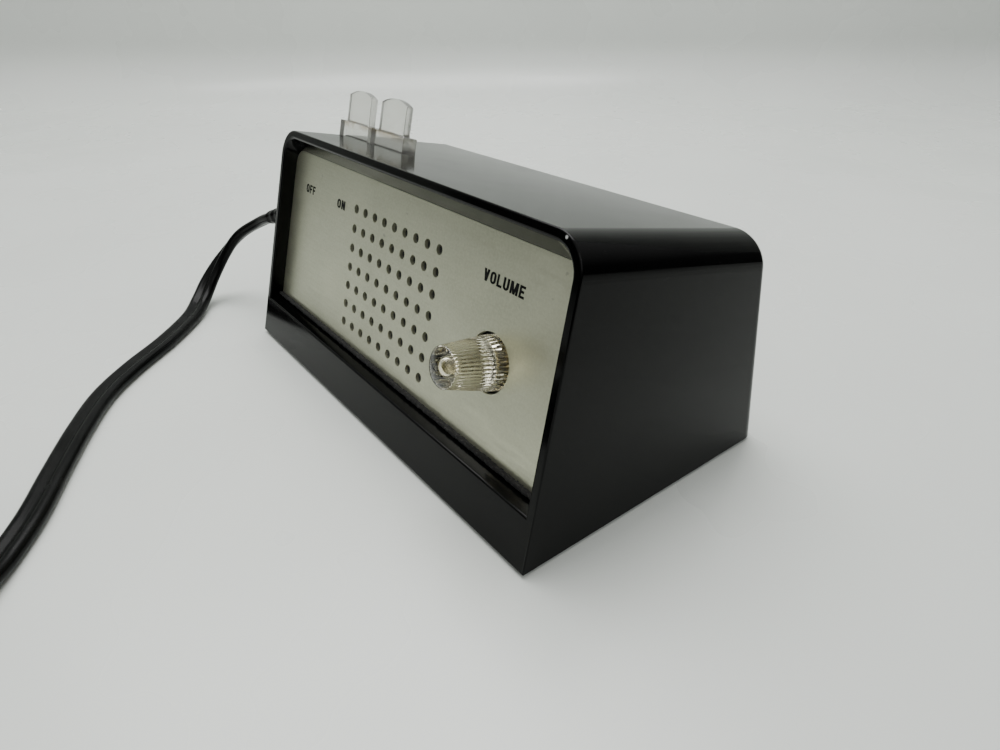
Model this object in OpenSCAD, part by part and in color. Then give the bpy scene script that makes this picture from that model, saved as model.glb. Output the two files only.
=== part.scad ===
// Desk paging speaker: a wedge-shaped plastic housing with a perforated metal front,
// two clear push keys on top, a clear ribbed volume knob and a flat twin mains lead.
// Millimetres. +X to the right seen from the front, +Y to the rear, +Z up.
// Origin: on the table, under the middle of the object's box without its lead.

/* [Housing] */
// Width of the housing at its base
base_w = 150; // [144:1:158]
// Depth of the housing at its base
base_d = 85; // [82:1:90]
// Length of the leaning front face
front_len = 71.9; // [70:0.1:74]
// Backward lean of the front face, degrees
front_lean = 14.74; // [12:0.01:16]
// Inward lean of each side wall, degrees
side_lean = 3.72; // [3:0.01:5]
// Forward lean of the rear wall, degrees
rear_lean = 7.1; // [5:0.1:9]
// Fall of the top from front to rear, degrees
top_fall = 11.5; // [10:0.1:13]
// Wall thickness
wall = 2.2; // [1.8:0.1:2.6]
// Rounding of the two long top edges
shoulder_r = 9; // [7:0.5:11]

/* [Front panel] */
// Depth of the panel behind the rim of the housing
recess = 4.5; // [4:0.1:5]
// Width of the rim above and beside the panel
rim_w = 2.2; // [2:0.1:2.8]
// Thickness of the panel
panel_t = 1; // [0.8:0.1:1.2]
// Height of the panel's upper edge up the front face
panel_top = 65.9; // [65:0.1:67]
// Height of the panel's lower edge up the front face
panel_bottom = 14.8; // [14:0.1:15.5]
// Height of the chin's upper edge up the front face
chin_top = 13; // [12:0.1:13.5]

/* [Speaker holes] */
// Columns of sound holes
hole_cols = 9; // [5:1:9]
// Rows of sound holes
hole_rows = 7; // [5:1:7]
// Distance between columns
hole_dx = 5.47; // [5:0.01:5.6]
// Distance between rows
hole_dy = 5.73; // [5.4:0.01:5.8]
// Radius of a sound hole
hole_r = 1.3; // [1:0.05:1.5]

/* [Volume knob] */
// Knob axis, to the right of the middle
knob_x = 45.5; // [44:0.5:47]
// Knob axis, up the front face
knob_u = 36.8; // [36:0.1:38]
// Radius of the hole round the knob
knob_hole_r = 7.3; // [7.1:0.1:7.6]
// Radius of the knob at its inner end
knob_r = 6.6; // [6.2:0.1:6.8]
// Radius of the knob at its outer end
knob_tip_r = 4.9; // [4.5:0.1:5.5]
// Length of the knob in front of the panel
knob_out = 14.6; // [13:0.1:16]

/* [Keys] */
// Middle of the OFF key, to the left of the middle of the housing
off_x = -56; // [-57:0.5:-55]
// Middle of the ON key, to the left of the middle of the housing
on_x = -34.6; // [-36:0.1:-34]
// Width of a key's lower block
key_w = 19.9; // [19:0.1:20.2]
// Thickness of a key's lower block
key_t = 4.75; // [4.5:0.05:5]
// Height of the lower block above the housing
key_block_h = 4.6; // [4.2:0.1:5]
// Width of a key's blade
blade_w = 15; // [14:0.1:16]
// Thickness of a key's blade
blade_t = 2.3; // [2:0.1:2.8]
// Height of the blade's middle above the housing
blade_h = 14.5; // [13:0.1:16]
// Distance of the keys' middle behind the front face
key_n = 19.5; // [18:0.5:21]

/* [Lead] */
// Width of the flat twin lead
lead_w = 7.3; // [6.8:0.1:7.6]
// Thickness of the flat twin lead
lead_t = 3.7; // [3.4:0.1:4]
// Radius at the middle of the coil's turns
coil_r = 38; // [36:1:40]

/* [Hidden] */
$fn = 48;

foot_h = 1;
cut = 0.02;
panel_n = -recess;
panel_back = panel_n - panel_t;
lip_back = panel_back - 1.5;
knob_tip_n = panel_n + knob_out;
// the knob's tip stands a little in front of the base, so the middle of the box moves with it
knob_reach = knob_tip_n * cos(front_lean) - knob_u * sin(front_lean);
front_y = -(base_d - knob_reach) / 2;
rear_y = front_y + base_d;
rear_round = 3;
rear_corner = 5;
plate_z = foot_h;
plate_t = 1.5;
floor_z = plate_z + plate_t;
speaker_x = -2.3;
speaker_u = 38.8;
speaker_r = 25;
row_top_u = 56;
col_left_x = speaker_x - (hole_cols - 1) / 2 * hole_dx;
chassis_n = -9;
chassis_t = 1.2;
chassis_back = chassis_n - chassis_t;
key_us = front_len + key_n * tan(front_lean - top_fall);
frame_u0 = 47;
frame_u1 = 56.2;
collar_u = 62.5;
stem_u = 64.5;
board_z = 8;
board_t = 1.6;
exit_y = -21.2;
exit_z = 38.6;
exit_x = -(base_w / 2 - (exit_z - foot_h) * tan(side_lean));
screw_xy = [[64.5, -27], [-64.5, -27], [64.5, 32], [-64.5, 32]];
board_xy = [[-61, 1], [17, 1], [-54.5, 31.5], [17, 31]];
bracket_xs = [29.6, 66.4];

// ---- places -------------------------------------------------------------------------

// the front face's own frame: X across, Y up the slope, Z straight out of the face
module on_face(x = 0, u = 0, n = 0)
    translate([0, front_y, foot_h]) rotate([90 - front_lean, 0, 0]) translate([x, u, n])
        children();

// the rear wall's own frame: X across, Y up the wall, Z into the housing
module on_rear(x = 0, u = 0, n = 0)
    translate([0, rear_y, foot_h]) rotate([90 + rear_lean, 0, 0]) translate([x, u, n])
        children();

// the left wall's own frame at the lead's hole: Z straight out of the wall
module on_left() translate([exit_x, exit_y, exit_z]) rotate([0, side_lean - 90, 0]) children();

// half of the housing's width at a height up the front face
function half_w(u) = base_w / 2 - u * cos(front_lean) * tan(side_lean);

// how far the middle of a shoulder's rounding is from the middle, at a height above the base
function shoulder_x(h) = base_w / 2 - h * tan(side_lean) - shoulder_r / cos(side_lean);

// height of the top surface's rear end above the base
top_z0 = front_len * cos(front_lean);
top_y0 = front_len * sin(front_lean);
rear_h = (top_z0 - (base_d - top_y0) * tan(top_fall)) / (1 - tan(rear_lean) * tan(top_fall));
rear_len = rear_h / cos(rear_lean);

// ---- swept tubes --------------------------------------------------------------------

// a smooth curve through hand-picked points, n steps from each point to the next
function blend_point(a, b, c, d, t) =
    0.5 * (2 * b + (c - a) * t + (2 * a - 5 * b + 4 * c - d) * t * t
        + (3 * b - a - 3 * c + d) * t * t * t);
function smooth(p, n) = [
    for (i = [0 : len(p) - 2]) for (k = [0 : n - 1])
        blend_point(p[max(i - 1, 0)], p[i], p[i + 1], p[min(i + 2, len(p) - 1)], k / n),
    p[len(p) - 1]
];
function unit(v) = v / norm(v);
function heading(p, i) = unit(p[min(i + 1, len(p) - 1)] - p[max(i - 1, 0)]);
function side_of(d) = unit(cross([0, 0, 1], d));

// a tube of oval section along points p: half-widths w[i] sideways, half-heights h[i] upwards
module tube(p, w, h, sides) {
    rings = [
        for (i = [0 : len(p) - 1]) let (d = heading(p, i), s = side_of(d), up = cross(d, s))
            for (k = [0 : sides - 1]) let (a = (k + 0.5) * 360 / sides)
                p[i] + s * w[i] * cos(a) + up * h[i] * sin(a)
    ];
    last = (len(p) - 1) * sides;
    polyhedron(rings, concat(
        [[for (k = [0 : sides - 1]) k]],
        [[for (k = [sides - 1 : -1 : 0]) last + k]],
        [for (i = [0 : len(p) - 2], k = [0 : sides - 1])
            [i * sides + k, (i + 1) * sides + k, (i + 1) * sides + (k + 1) % sides,
                i * sides + (k + 1) % sides]]
    ));
}
module wire(p, r = 0.6) {
    q = smooth(p, 3);
    tube(q, [for (i = q) r], [for (i = q) r], 6);
}

// ---- fasteners ----------------------------------------------------------------------

// a pan-head screw with its head's seat at z = 0 and its shank going down
module pan_screw(r, length, head_r = 2.6, head_h = 1.5) {
    translate([0, 0, -length]) cylinder(r = r, h = length + cut);
    difference() {
        cylinder(r1 = head_r, r2 = head_r * 0.8, h = head_h);
        translate([-head_r, -0.3, head_h - 0.6]) cube([2 * head_r, 0.6, 1]);
    }
}

// ---- housing ------------------------------------------------------------------------

// the housing's outer form drawn in by d; its lower face is drawn in by low instead
module body_form(d, front_n, low) {
    r = shoulder_r - d;
    front_u = front_len - shoulder_r + front_n * tan(front_lean - top_fall);
    rear_n = d + rear_round;
    rear_u = rear_len - shoulder_r + rear_n * tan(rear_lean + top_fall);
    front_x = shoulder_x(front_u * cos(front_lean) - front_n * sin(front_lean));
    rear_x = shoulder_x(rear_u * cos(rear_lean) - rear_n * sin(rear_lean));
    hull() {
        for (s = [-1, 1]) {
            on_face(s * front_x, front_u, -front_n - 0.1) cylinder(r = r, h = 0.1);
            for (a = [0 : 30 : 90])
                on_rear(s * rear_x, rear_u, d + rear_round * (1 - sin(a)))
                    cylinder(r = r - rear_round * (1 - cos(a)), h = 0.1);
            on_face(s * (base_w / 2 - d - 0.5), 0.5 - low, -front_n - 0.05)
                cube([1, 1, 0.1], true);
            translate([s * (base_w / 2 - d - rear_corner), rear_y - d - rear_corner, foot_h - low])
                cylinder(r = rear_corner, h = 0.1, $fn = 32);
        }
    }
}

// a flat outline on the front face, with side walls that follow the housing's
module front_outline(inset, low, high, corner) {
    offset(r = corner) offset(delta = -corner) polygon([
        [-half_w(low) + inset, low], [half_w(low) - inset, low],
        [half_w(high) - inset, high], [-half_w(high) + inset, high]
    ]);
    polygon([
        [-half_w(low) + inset, low], [half_w(low) - inset, low],
        [half_w(low + 20) - inset, low + 20], [-half_w(low + 20) + inset, low + 20]
    ]);
}

// the window in front of the panel: it flares in towards the panel above and below
module window_cut() {
    inset = rim_w + 0.1;
    hull() {
        on_face(0, 0, 0) linear_extrude(0.1)
            front_outline(inset, chin_top, front_len - rim_w, shoulder_r - rim_w);
        on_face(0, 0, panel_n - 0.01) linear_extrude(0.01)
            front_outline(inset, panel_bottom, panel_top + 0.1, 5);
    }
    on_face(0, 0, panel_back) linear_extrude(panel_t + 0.01)
        front_outline(inset, panel_bottom - 0.1, panel_top + 0.1, 5);
    on_face(0, 0, lip_back - 0.2) linear_extrude(1.8)
        front_outline(inset + 1.5, panel_bottom + 1, panel_top - 1, 4);
}

module key_slot(x)
    on_face(x, key_us, -key_n)
        translate([-key_w / 2 - 0.2, -8, -key_t / 2 - 0.2]) cube([key_w + 0.4, 16, key_t + 0.4]);

module shell_boss(p) {
    translate([p[0], p[1], floor_z]) cylinder(r = 3.4, h = 13);
    translate([p[0] > 0 ? p[0] : p[0] - 7.5, p[1] - 1, floor_z]) cube([7.5, 2, 13]);
}

module top_shell() color([0.03, 0.03, 0.035]) {
    difference() {
        union() {
            difference() {
                body_form(0, 0, 0);
                body_form(wall, -lip_back, 1);
            }
            for (p = screw_xy) shell_boss(p);
        }
        window_cut();
        on_face(0, 0, 0) translate([-half_w(0) + wall + 0.3, -3, lip_back - cut])
            cube([2 * (half_w(0) - wall - 0.3), 13.5, -lip_back - wall]);
        for (x = [off_x, on_x]) key_slot(x);
        on_left() translate([0, 0, -wall - 2]) cylinder(r = 4.2, h = wall + 4);
        for (p = screw_xy) translate([p[0], p[1], floor_z - cut]) cylinder(r = 1.5, h = 10);
    }
}

module base_outline(gap) {
    front = front_y + wall + gap + 0.5;
    back = rear_y - wall - gap - 0.4;
    half = base_w / 2 - wall - gap - 0.2;
    offset(r = 5.5) offset(delta = -5.5)
        translate([-half, front]) square([2 * half, back - front]);
}

module base_plate() color([0.2, 0.2, 0.2]) difference() {
    translate([0, 0, plate_z]) linear_extrude(plate_t) base_outline(0.2);
    for (p = screw_xy) translate([p[0], p[1], plate_z - cut]) {
        cylinder(r = 1.7, h = 3);
        cylinder(r = 3.2, h = 0.8 + cut);
    }
    for (x = [-46, 46]) translate([x, -24.5, plate_z - cut]) cylinder(r = 1.6, h = 3);
    for (p = board_xy) translate([p[0], p[1], plate_z - cut]) cylinder(r = 1.6, h = 3);
    for (x = bracket_xs) translate([x, 18, plate_z - cut]) cylinder(r = 1.6, h = 3);
    for (i = [0 : 8]) translate([-20 + i * 5, -10, plate_z - cut]) rotate(20)
        translate([-0.8, -6, 0]) cube([1.6, 12, 3]);
}

module base_screws() color([0.55, 0.55, 0.57])
    for (p = screw_xy) translate([p[0], p[1], plate_z + 0.8]) mirror([0, 0, 1])
        pan_screw(1.45, 9, 2.9, 0.75);

module rubber_feet() color([0.1, 0.1, 0.1])
    for (x = [-55, 55], y = [-31.5, 34]) translate([x, y, 0]) {
        cylinder(r1 = 5, r2 = 5.5, h = foot_h);
    }

module front_panel() color([0.66, 0.67, 0.63])
    on_face(0, 0, panel_back) linear_extrude(panel_t) difference() {
        front_outline(rim_w + 0.2, panel_bottom, panel_top, 5);
        for (i = [0 : hole_cols - 1], j = [0 : hole_rows - 1])
            translate([col_left_x + i * hole_dx, row_top_u - j * hole_dy]) circle(hole_r, $fn = 24);
        translate([knob_x, knob_u]) circle(knob_hole_r);
    }

module foam_strip() color([0.05, 0.05, 0.05])
    on_face(0, panel_bottom + 0.1, panel_n + 0.05) translate([-half_w(15) + rim_w + 1, 0, 0])
        cube([2 * (half_w(15) - rim_w - 1), 1, 1.6]);

module grille_cloth() color([0.07, 0.07, 0.07])
    on_face(speaker_x - 27, 17.5, panel_back - 0.4) cube([54, 45, 0.39]);

// ---- chassis and speaker ------------------------------------------------------------

module chassis_plate() color([0.62, 0.62, 0.6]) difference() {
    union() {
        on_face(-58, 4.6, chassis_back) cube([116, 60, chassis_t]);
        translate([-54, front_y + 9, floor_z]) cube([108, 14, 1.2]);
    }
    on_face(speaker_x, speaker_u, chassis_back - 1) cylinder(r = 22, h = 4);
    on_face(knob_x, knob_u, chassis_back - 1) cylinder(r = 3.6, h = 4);
    for (a = [45 : 90 : 315]) on_face(speaker_x, speaker_u, chassis_back - 1)
        rotate(a) translate([23.6, 0, 0]) cylinder(r = 0.9, h = 4);
    for (x = [-56, -31]) on_face(x, 51.5, chassis_back - 1) cylinder(r = 1.3, h = 4);
    for (x = [-46, 46]) translate([x, -24.5, floor_z - 1]) cylinder(r = 1.3, h = 4);
}

module chassis_screws() color([0.6, 0.6, 0.62])
    for (x = [-46, 46]) translate([x, -24.5, floor_z + 1.2]) pan_screw(1.25, 3, 2.4, 1.4);

module speaker_gasket() color([0.08, 0.08, 0.08])
    on_face(speaker_x, speaker_u, chassis_back - 0.8) difference() {
        cylinder(r = speaker_r, h = 0.8);
        translate([0, 0, -1]) cylinder(r = 22, h = 3);
        for (a = [45 : 90 : 315]) rotate(a) translate([23.6, 0, -1]) cylinder(r = 0.9, h = 3);
    }

speaker_face = chassis_back - 0.8;

// pressed basket: a flange, four windows in a cone, and a back plate for the magnet
module speaker_frame() color([0.7, 0.7, 0.68])
    on_face(speaker_x, speaker_u, speaker_face) difference() {
        rotate_extrude() polygon([
            [22, 0], [speaker_r, 0], [speaker_r, -0.9], [22.5, -0.9], [22.5, -3.4], [14, -11.2],
            [8.2, -11.2], [8.2, -10.2], [13.4, -10.2], [22, -3.2]
        ]);
        for (a = [0 : 90 : 270]) rotate(a) translate([0, 0, -9]) rotate([0, 90, 0])
            translate([0, 0, 12]) cylinder(r = 2.4, h = 12);
        for (a = [45 : 90 : 315]) rotate(a) translate([23.6, 0, -2]) cylinder(r = 0.9, h = 3);
    }

module speaker_cone() color([0.16, 0.15, 0.14])
    on_face(speaker_x, speaker_u, speaker_face) rotate_extrude() polygon([
        [6.2, -8.9], [20.6, -1.4], [21.6, -0.9], [21.6, -1.3], [20.8, -1.8], [6.2, -9.3]
    ]);

module dust_cap() color([0.1, 0.1, 0.1])
    on_face(speaker_x, speaker_u, speaker_face) rotate_extrude() difference() {
        intersection() {
            translate([0, -13.9]) circle(9);
            translate([0, -8.42]) square([7.1, 8]);
        }
        intersection() {
            translate([0, -13.9]) circle(8.5);
            translate([0, -8.5]) square([7, 9]);
        }
        translate([-1, -9.4]) square([0.999, 9]);
    }

module voice_coil() color([0.72, 0.42, 0.2])
    on_face(speaker_x, speaker_u, speaker_face - 15.4) difference() {
        cylinder(r = 6.6, h = 6.1);
        translate([0, 0, -1]) cylinder(r = 6.1, h = 9);
    }

module speaker_magnet() color([0.3, 0.3, 0.31])
    on_face(speaker_x, speaker_u, speaker_face - 11.2) {
        difference() {
            translate([0, 0, -2.5]) cylinder(r = 12.5, h = 2.5);
            translate([0, 0, -3]) cylinder(r = 7, h = 4);
        }
        difference() {
            translate([0, 0, -8.5]) cylinder(r = 14, h = 6);
            translate([0, 0, -9]) cylinder(r = 7.6, h = 7);
        }
        translate([0, 0, -10.5]) cylinder(r = 12.5, h = 2);
        translate([0, 0, -8.6]) cylinder(r = 5.7, h = 9.6);
    }

module speaker_screws() color([0.6, 0.6, 0.62])
    for (a = [45 : 90 : 315]) on_face(speaker_x, speaker_u, chassis_n) rotate(a)
        translate([23.6, 0, 0]) pan_screw(0.85, 4.5, 1.6, 0.9);

// ---- volume control -----------------------------------------------------------------

module pot_body() color([0.35, 0.34, 0.3]) {
    on_face(knob_x, knob_u, chassis_back - 7.5) difference() {
        cylinder(r = 8.5, h = 7.5);
        translate([0, 0, 0.7]) cylinder(r = 7.8, h = 5.8);
        translate([0, 0, 5]) cylinder(r = 2.05, h = 4);
    }
    on_face(knob_x, knob_u, chassis_back - 4) for (x = [-4, 0, 4])
        translate([x - 0.7, -13, 0]) cube([1.4, 6.4, 0.5]);
}

module pot_bushing() color([0.75, 0.74, 0.7])
    on_face(knob_x, knob_u, chassis_back) difference() {
        cylinder(r = 3.5, h = 6);
        translate([0, 0, -1]) cylinder(r = 2.05, h = 8);
    }

module pot_washer() color([0.7, 0.7, 0.7])
    on_face(knob_x, knob_u, chassis_n) difference() {
        cylinder(r = 5.8, h = 0.4);
        translate([0, 0, -1]) cylinder(r = 3.55, h = 3);
    }

module pot_nut() color([0.75, 0.74, 0.7])
    on_face(knob_x, knob_u, chassis_n + 0.4) difference() {
        cylinder(r = 5.2, h = 1.6, $fn = 6);
        translate([0, 0, -1]) cylinder(r = 3.55, h = 4);
    }

module pot_shaft() color([0.8, 0.79, 0.76])
    on_face(knob_x, knob_u, chassis_back - 5.5) cylinder(r = 2, h = 21);

module pot_wiper() color([0.7, 0.6, 0.35])
    on_face(knob_x, knob_u, chassis_back - 5) difference() {
        union() {
            cylinder(r = 3.4, h = 1.2);
            translate([-1, 0, 0]) cube([2, 7.2, 0.6]);
        }
        translate([0, 0, -1]) cylinder(r = 2, h = 4);
    }

// clear moulding: tapered, domed at the tip, hollow at its inner end, bored for the shaft
module volume_knob() color([0.86, 0.82, 0.66, 0.6])
    on_face(knob_x, knob_u, 0) rotate_extrude() difference() {
        union() {
            polygon([
                [0, panel_back - 1.1], [knob_r, panel_back - 1.1], [knob_r, panel_n],
                [knob_tip_r, knob_tip_n - 1.8], [0, knob_tip_n - 1.8]
            ]);
            intersection() {
                translate([0, knob_tip_n - 8]) circle(8, $fn = 96);
                translate([0, knob_tip_n - 1.8 - cut]) square([knob_tip_r, 3]);
            }
        }
        translate([-1, panel_back - 2]) square([1 + 5, panel_back * -1 - 0.6]);
        translate([-1, panel_back - 2]) square([1 + 2, knob_tip_n - panel_back - 2.5]);
    }

// ---- keys and switch ----------------------------------------------------------------

key_step = key_us - wall - 0.95;

// clear moulding: a block that fills the slot, a thinner arched blade, a flange and a stem
module key(x) color([0.9, 0.9, 0.86, 0.5])
    on_face(x, 0, -key_n) {
        translate([-key_w / 2, key_step - 1.4, -key_t / 2])
            cube([key_w, key_us + key_block_h - key_step + 1.4, key_t]);
        translate([-6.5, key_step - 1.4, -key_t / 2 - 1.5]) cube([13, 1.4, key_t + 3]);
        translate([-4, stem_u, -1.5]) cube([8, key_step - stem_u, 3]);
        intersection() {
            translate([-blade_w / 2, key_us + key_block_h - cut, -blade_t / 2])
                cube([blade_w, blade_h, blade_t]);
            translate([0, key_us + blade_h - 18, -blade_t]) cylinder(r = 18, h = 2 * blade_t, $fn = 96);
        }
    }

module plunger(x) color([0.15, 0.13, 0.12])
    on_face(x, 0, -key_n) {
        translate([-3, 43, -2]) cube([6, stem_u - 43, 4]);
        translate([-4.6, collar_u, -3.6]) cube([9.2, stem_u - collar_u, 7.2]);
    }

spring_turns = 3;
module key_spring(x) color([0.7, 0.7, 0.72])
    on_face(x, 0, -key_n)
        for (i = [0 : spring_turns]) let (u = frame_u1 + 0.35 + i * 1.85)
            translate([0, u, 0]) rotate([90, 0, 0]) rotate_extrude($fn = 32)
                translate([4.25, 0]) circle(0.32, $fn = 12);

// folded steel channel with guide windows for both plungers
module switch_frame() color([0.66, 0.66, 0.62]) difference() {
    union() {
        on_face(-66, frame_u0, -27) cube([37.5, 1.2, 16.8]);
        on_face(-66, frame_u1 - 1.2, -27) cube([37.5, 1.2, 16.8]);
        on_face(-66, frame_u0, chassis_back - 1.2) cube([37.5, frame_u1 - frame_u0, 1.2]);
    }
    for (x = [off_x, on_x]) on_face(x, frame_u0 - 1, -key_n)
        translate([-3.2, 0, -2.2]) cube([6.4, 12, 4.4]);
    for (x = [-56, -31]) on_face(x, 51.5, chassis_back - 3) cylinder(r = 1, h = 4);
}

module switch_screws() color([0.6, 0.6, 0.62])
    for (x = [-56, -31]) on_face(x, 51.5, chassis_n) pan_screw(0.95, 3.4, 1.9, 1);

module latch_bar() color([0.6, 0.58, 0.5]) on_face(0, 51, -key_n) difference() {
    translate([-64, 0, -4]) cube([36.5, 0.8, 8]);
    for (x = [off_x, on_x]) translate([x - 4.2, -1, -2.4]) cube([9.2, 3, 4.8]);
}

module switch_contacts() color([0.72, 0.55, 0.3])
    for (x = [off_x, on_x], k = [-1.6, 1.6]) on_face(x + k, frame_u0 - 5, -26.8) {
        cube([0.8, 5, 3]);
    }

// ---- circuit board ------------------------------------------------------------------

module circuit_board() color([0.55, 0.38, 0.2]) difference() {
    translate([-65, -3, board_z]) cube([86, 38, board_t]);
    translate([-66, 27, board_z - 1]) cube([6.5, 9, board_t + 2]);
    for (p = board_xy) translate([p[0], p[1], board_z - 1]) cylinder(r = 1.6, h = 4);
}

module board_standoffs() color([0.8, 0.78, 0.72])
    for (p = board_xy) translate([p[0], p[1], floor_z]) difference() {
        cylinder(r = 2.8, h = board_z - floor_z);
        translate([0, 0, -1]) cylinder(r = 1.5, h = 9);
    }

module board_screws() color([0.6, 0.6, 0.62])
    for (p = board_xy) translate([p[0], p[1], board_z + board_t]) pan_screw(1.45, 8, 2.6, 1.4);

board_top = board_z + board_t;

module capacitors() color([0.16, 0.24, 0.4])
    for (c = [[-50, 24, 4.5, 13], [-38, 26, 4, 11], [-26, 27, 3.2, 9], [6, 27, 5.2, 15]])
        translate([c[0], c[1], board_top]) difference() {
            cylinder(r = c[2], h = c[3]);
            translate([0, 0, c[3] - 2.4]) rotate_extrude()
                translate([c[2] + 0.15, 0]) circle(0.4, $fn = 12);
        }

module resistors() color([0.68, 0.52, 0.34])
    for (i = [0 : 6]) translate([-54 + i * 7, 9 + 3 * (i % 2), board_top]) {
        translate([0, 0, 1.3]) rotate([90, 0, 0]) translate([0, 0, -3.2]) cylinder(r = 1.15, h = 6.4);
        for (s = [-1, 1]) translate([0, s * 4.2, 0]) {
            cylinder(r = 0.3, h = 1.3);
            translate([0, 0, 1.3]) rotate([90, 0, 0]) translate([0, 0, s > 0 ? 0 : -1.1])
                cylinder(r = 0.3, h = 1.1);
        }
    }

module transistors() color([0.1, 0.1, 0.1])
    for (x = [-58, -44, -30, -16]) translate([x, 17.5, board_top]) {
        translate([0, 0, 2]) difference() {
            cylinder(r = 2.4, h = 4.6);
            translate([-3, 1.5, -1]) cube([6, 3, 7]);
        }
        for (k = [-1.2, 0, 1.2]) translate([k, 0, 0]) cylinder(r = 0.25, h = 2);
    }

module diodes() color([0.12, 0.12, 0.13])
    for (i = [0 : 3]) translate([-6 + i * 4.5, 2.5, board_top]) {
        translate([0, 0, 1.4]) rotate([-90, 0, 0]) cylinder(r = 1.3, h = 5);
        for (y = [0.3, 4.7]) translate([0, y, 0]) cylinder(r = 0.35, h = 1.4);
    }

module output_transformer() color([0.4, 0.36, 0.3]) translate([-12, 25, board_top]) {
    translate([-8, -1, 0]) cube([16, 4, 13]);
    translate([-5, -4, 3]) cube([10, 10, 7]);
}

// ---- mains supply -------------------------------------------------------------------

module transformer_core() color([0.35, 0.34, 0.33]) translate([48, 18, floor_z + 1]) difference() {
    translate([-15, -7, 0]) cube([30, 14, 25]);
    for (s = [-1, 1]) translate([s * 7.5 - 2.6, -8, 5]) cube([5.2, 16, 15]);
}

module transformer_bobbin() color([0.75, 0.68, 0.45])
    translate([48, 18, floor_z + 1]) difference() {
        translate([-9.9, -11.5, 5.2]) cube([19.8, 23, 14.6]);
        translate([-5.1, -7.2, 4]) cube([10.2, 14.4, 18]);
        for (s = [-1, 1]) translate([0, s * 11, 5.1]) translate([-11, -0.9, 2]) cube([22, 1.8, 0.4]);
    }

module transformer_bracket() color([0.68, 0.68, 0.64]) translate([48, 18, floor_z]) difference() {
    union() {
        translate([-21.5, -6, 0]) cube([43, 12, 1]);
        for (s = [-1, 1]) translate([s * 15.6 - 0.6, -6, 0]) cube([1.2, 12, 27.2]);
        translate([-16.2, -6, 26]) cube([32.4, 12, 1.2]);
    }
    for (x = [-18.4, 18.4]) translate([x, 0, -1]) cylinder(r = 1.6, h = 4);
}

module transformer_screws() color([0.6, 0.6, 0.62])
    for (x = bracket_xs) translate([x, 18, floor_z + 1]) pan_screw(1.25, 2.8, 2.1, 1.2);

module fuse_holder() color([0.2, 0.2, 0.22]) translate([40, -12, floor_z]) {
    translate([-13, -4.5, 0]) cube([26, 9, 2.5]);
    for (s = [-1, 1]) translate([s * 9 - 1.2, -3.4, 2.4]) difference() {
        cube([2.4, 6.8, 7]);
        translate([-1, 3.4, 4.6]) rotate([0, 90, 0]) cylinder(r = 2.6, h = 5);
        translate([-1, 1.6, 4.6]) cube([5, 3.6, 5]);
    }
}

module fuse() color([0.8, 0.82, 0.8]) translate([40, -12, floor_z + 7]) rotate([0, 90, 0]) {
    translate([0, 0, -10]) cylinder(r = 2.5, h = 20);
}

module terminal_strip() color([0.45, 0.3, 0.16]) translate([-58, -14, floor_z]) {
    translate([-8, -1, 0]) cube([22, 2, 10]);
    for (i = [0 : 3]) translate([-6 + i * 5.5, 0.9, 4]) cube([2, 0.6, 8]);
}

// ---- wires --------------------------------------------------------------------------

module mains_wires() color([0.1, 0.1, 0.1]) {
    wire([[-64, -21.6, 37.2], [-62, -20.5, 30], [-60, -17, 22], [-59, -13, 17]]);
    wire([[-64, -20, 37.2], [-60, -17.5, 28], [-57, -16, 22], [-53, -13, 17]]);
}

module speaker_wires() color([0.7, 0.12, 0.1]) {
    wire([[-12, -1, 10.4], [-15, -5, 13], [-17.5, -12, 15.5], [-18, -17.2, 18]], 0.5);
    wire([[-9, -1, 10.4], [-11, -6, 12.5], [-13.5, -13, 14.3], [-14, -18.5, 15.5]], 0.5);
}

module volume_wires() color([0.15, 0.35, 0.6]) {
    for (i = [0 : 2]) let (x = knob_x - 4 + 4 * i)
        wire([[11, -2.4 + 1.1 * i, 10.4], [22, -5 + i, 13], [34, -10 + i, 17], [x, -17.2, 21.5]], 0.5);
}

// ---- lead, coil and plug ------------------------------------------------------------

// the lead's middle line: out of the left wall, down to the table, then along it to the coil
route = [
    [-74, -21.2, 38.6], [-83, -22.3, 38.3], [-92, -25, 36], [-102, -27.5, 32], [-112, -33.5, 25.5],
    [-116.4, -40.4, 17], [-115.4, -47.6, 9.4], [-109.6, -54.2, 4], [-99.8, -61.2, 2.1],
    [-85, -74, 1.9], [-72, -87.5, 1.9], [-59, -98.5, 1.9], [-43, -107.5, 1.9],
    [-26, -115.5, 1.9], [-10, -122.7, 1.9], [3, -130.2, 2], [12, -136.2, 2.8],
    [20, -142.6, 3.7]
];
relief_points = 2;
coil_x = -3;
coil_y = -180;
coil_z = 0.8;
coil_h = 15.2;
coil_half = 7.9;
plug_turn = 225;
tie_turn = 0;

module strain_relief() color([0.06, 0.06, 0.06]) {
    on_left() {
        translate([0, 0, 0.08]) cylinder(r = 5.4, h = 1.32);
        translate([0, 0, -wall - 2]) cylinder(r = 4.1, h = wall + 2.2);
        for (s = [-1, 1]) translate([s * 4.4 - 0.8, -1.8, -wall - 2]) cube([1.6, 3.6, 1.5]);
    }
    p = [for (i = [0 : 3 * relief_points]) smooth(route, 3)[i]];
    last = len(p) - 1;
    tube(p, [for (i = [0 : last]) 4.9 - 0.7 * i / last], [for (i = [0 : last]) 4.4 - 1.9 * i / last],
        16);
}

module power_cord() color([0.04, 0.04, 0.04]) {
    all = smooth(route, 3);
    p = [for (i = [3 * relief_points : len(all) - 1]) all[i]];
    tube(p, [for (i = p) lead_w / 2 / cos(22.5)], [for (i = p) lead_t / 2 / cos(22.5)], 8);
}

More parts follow.
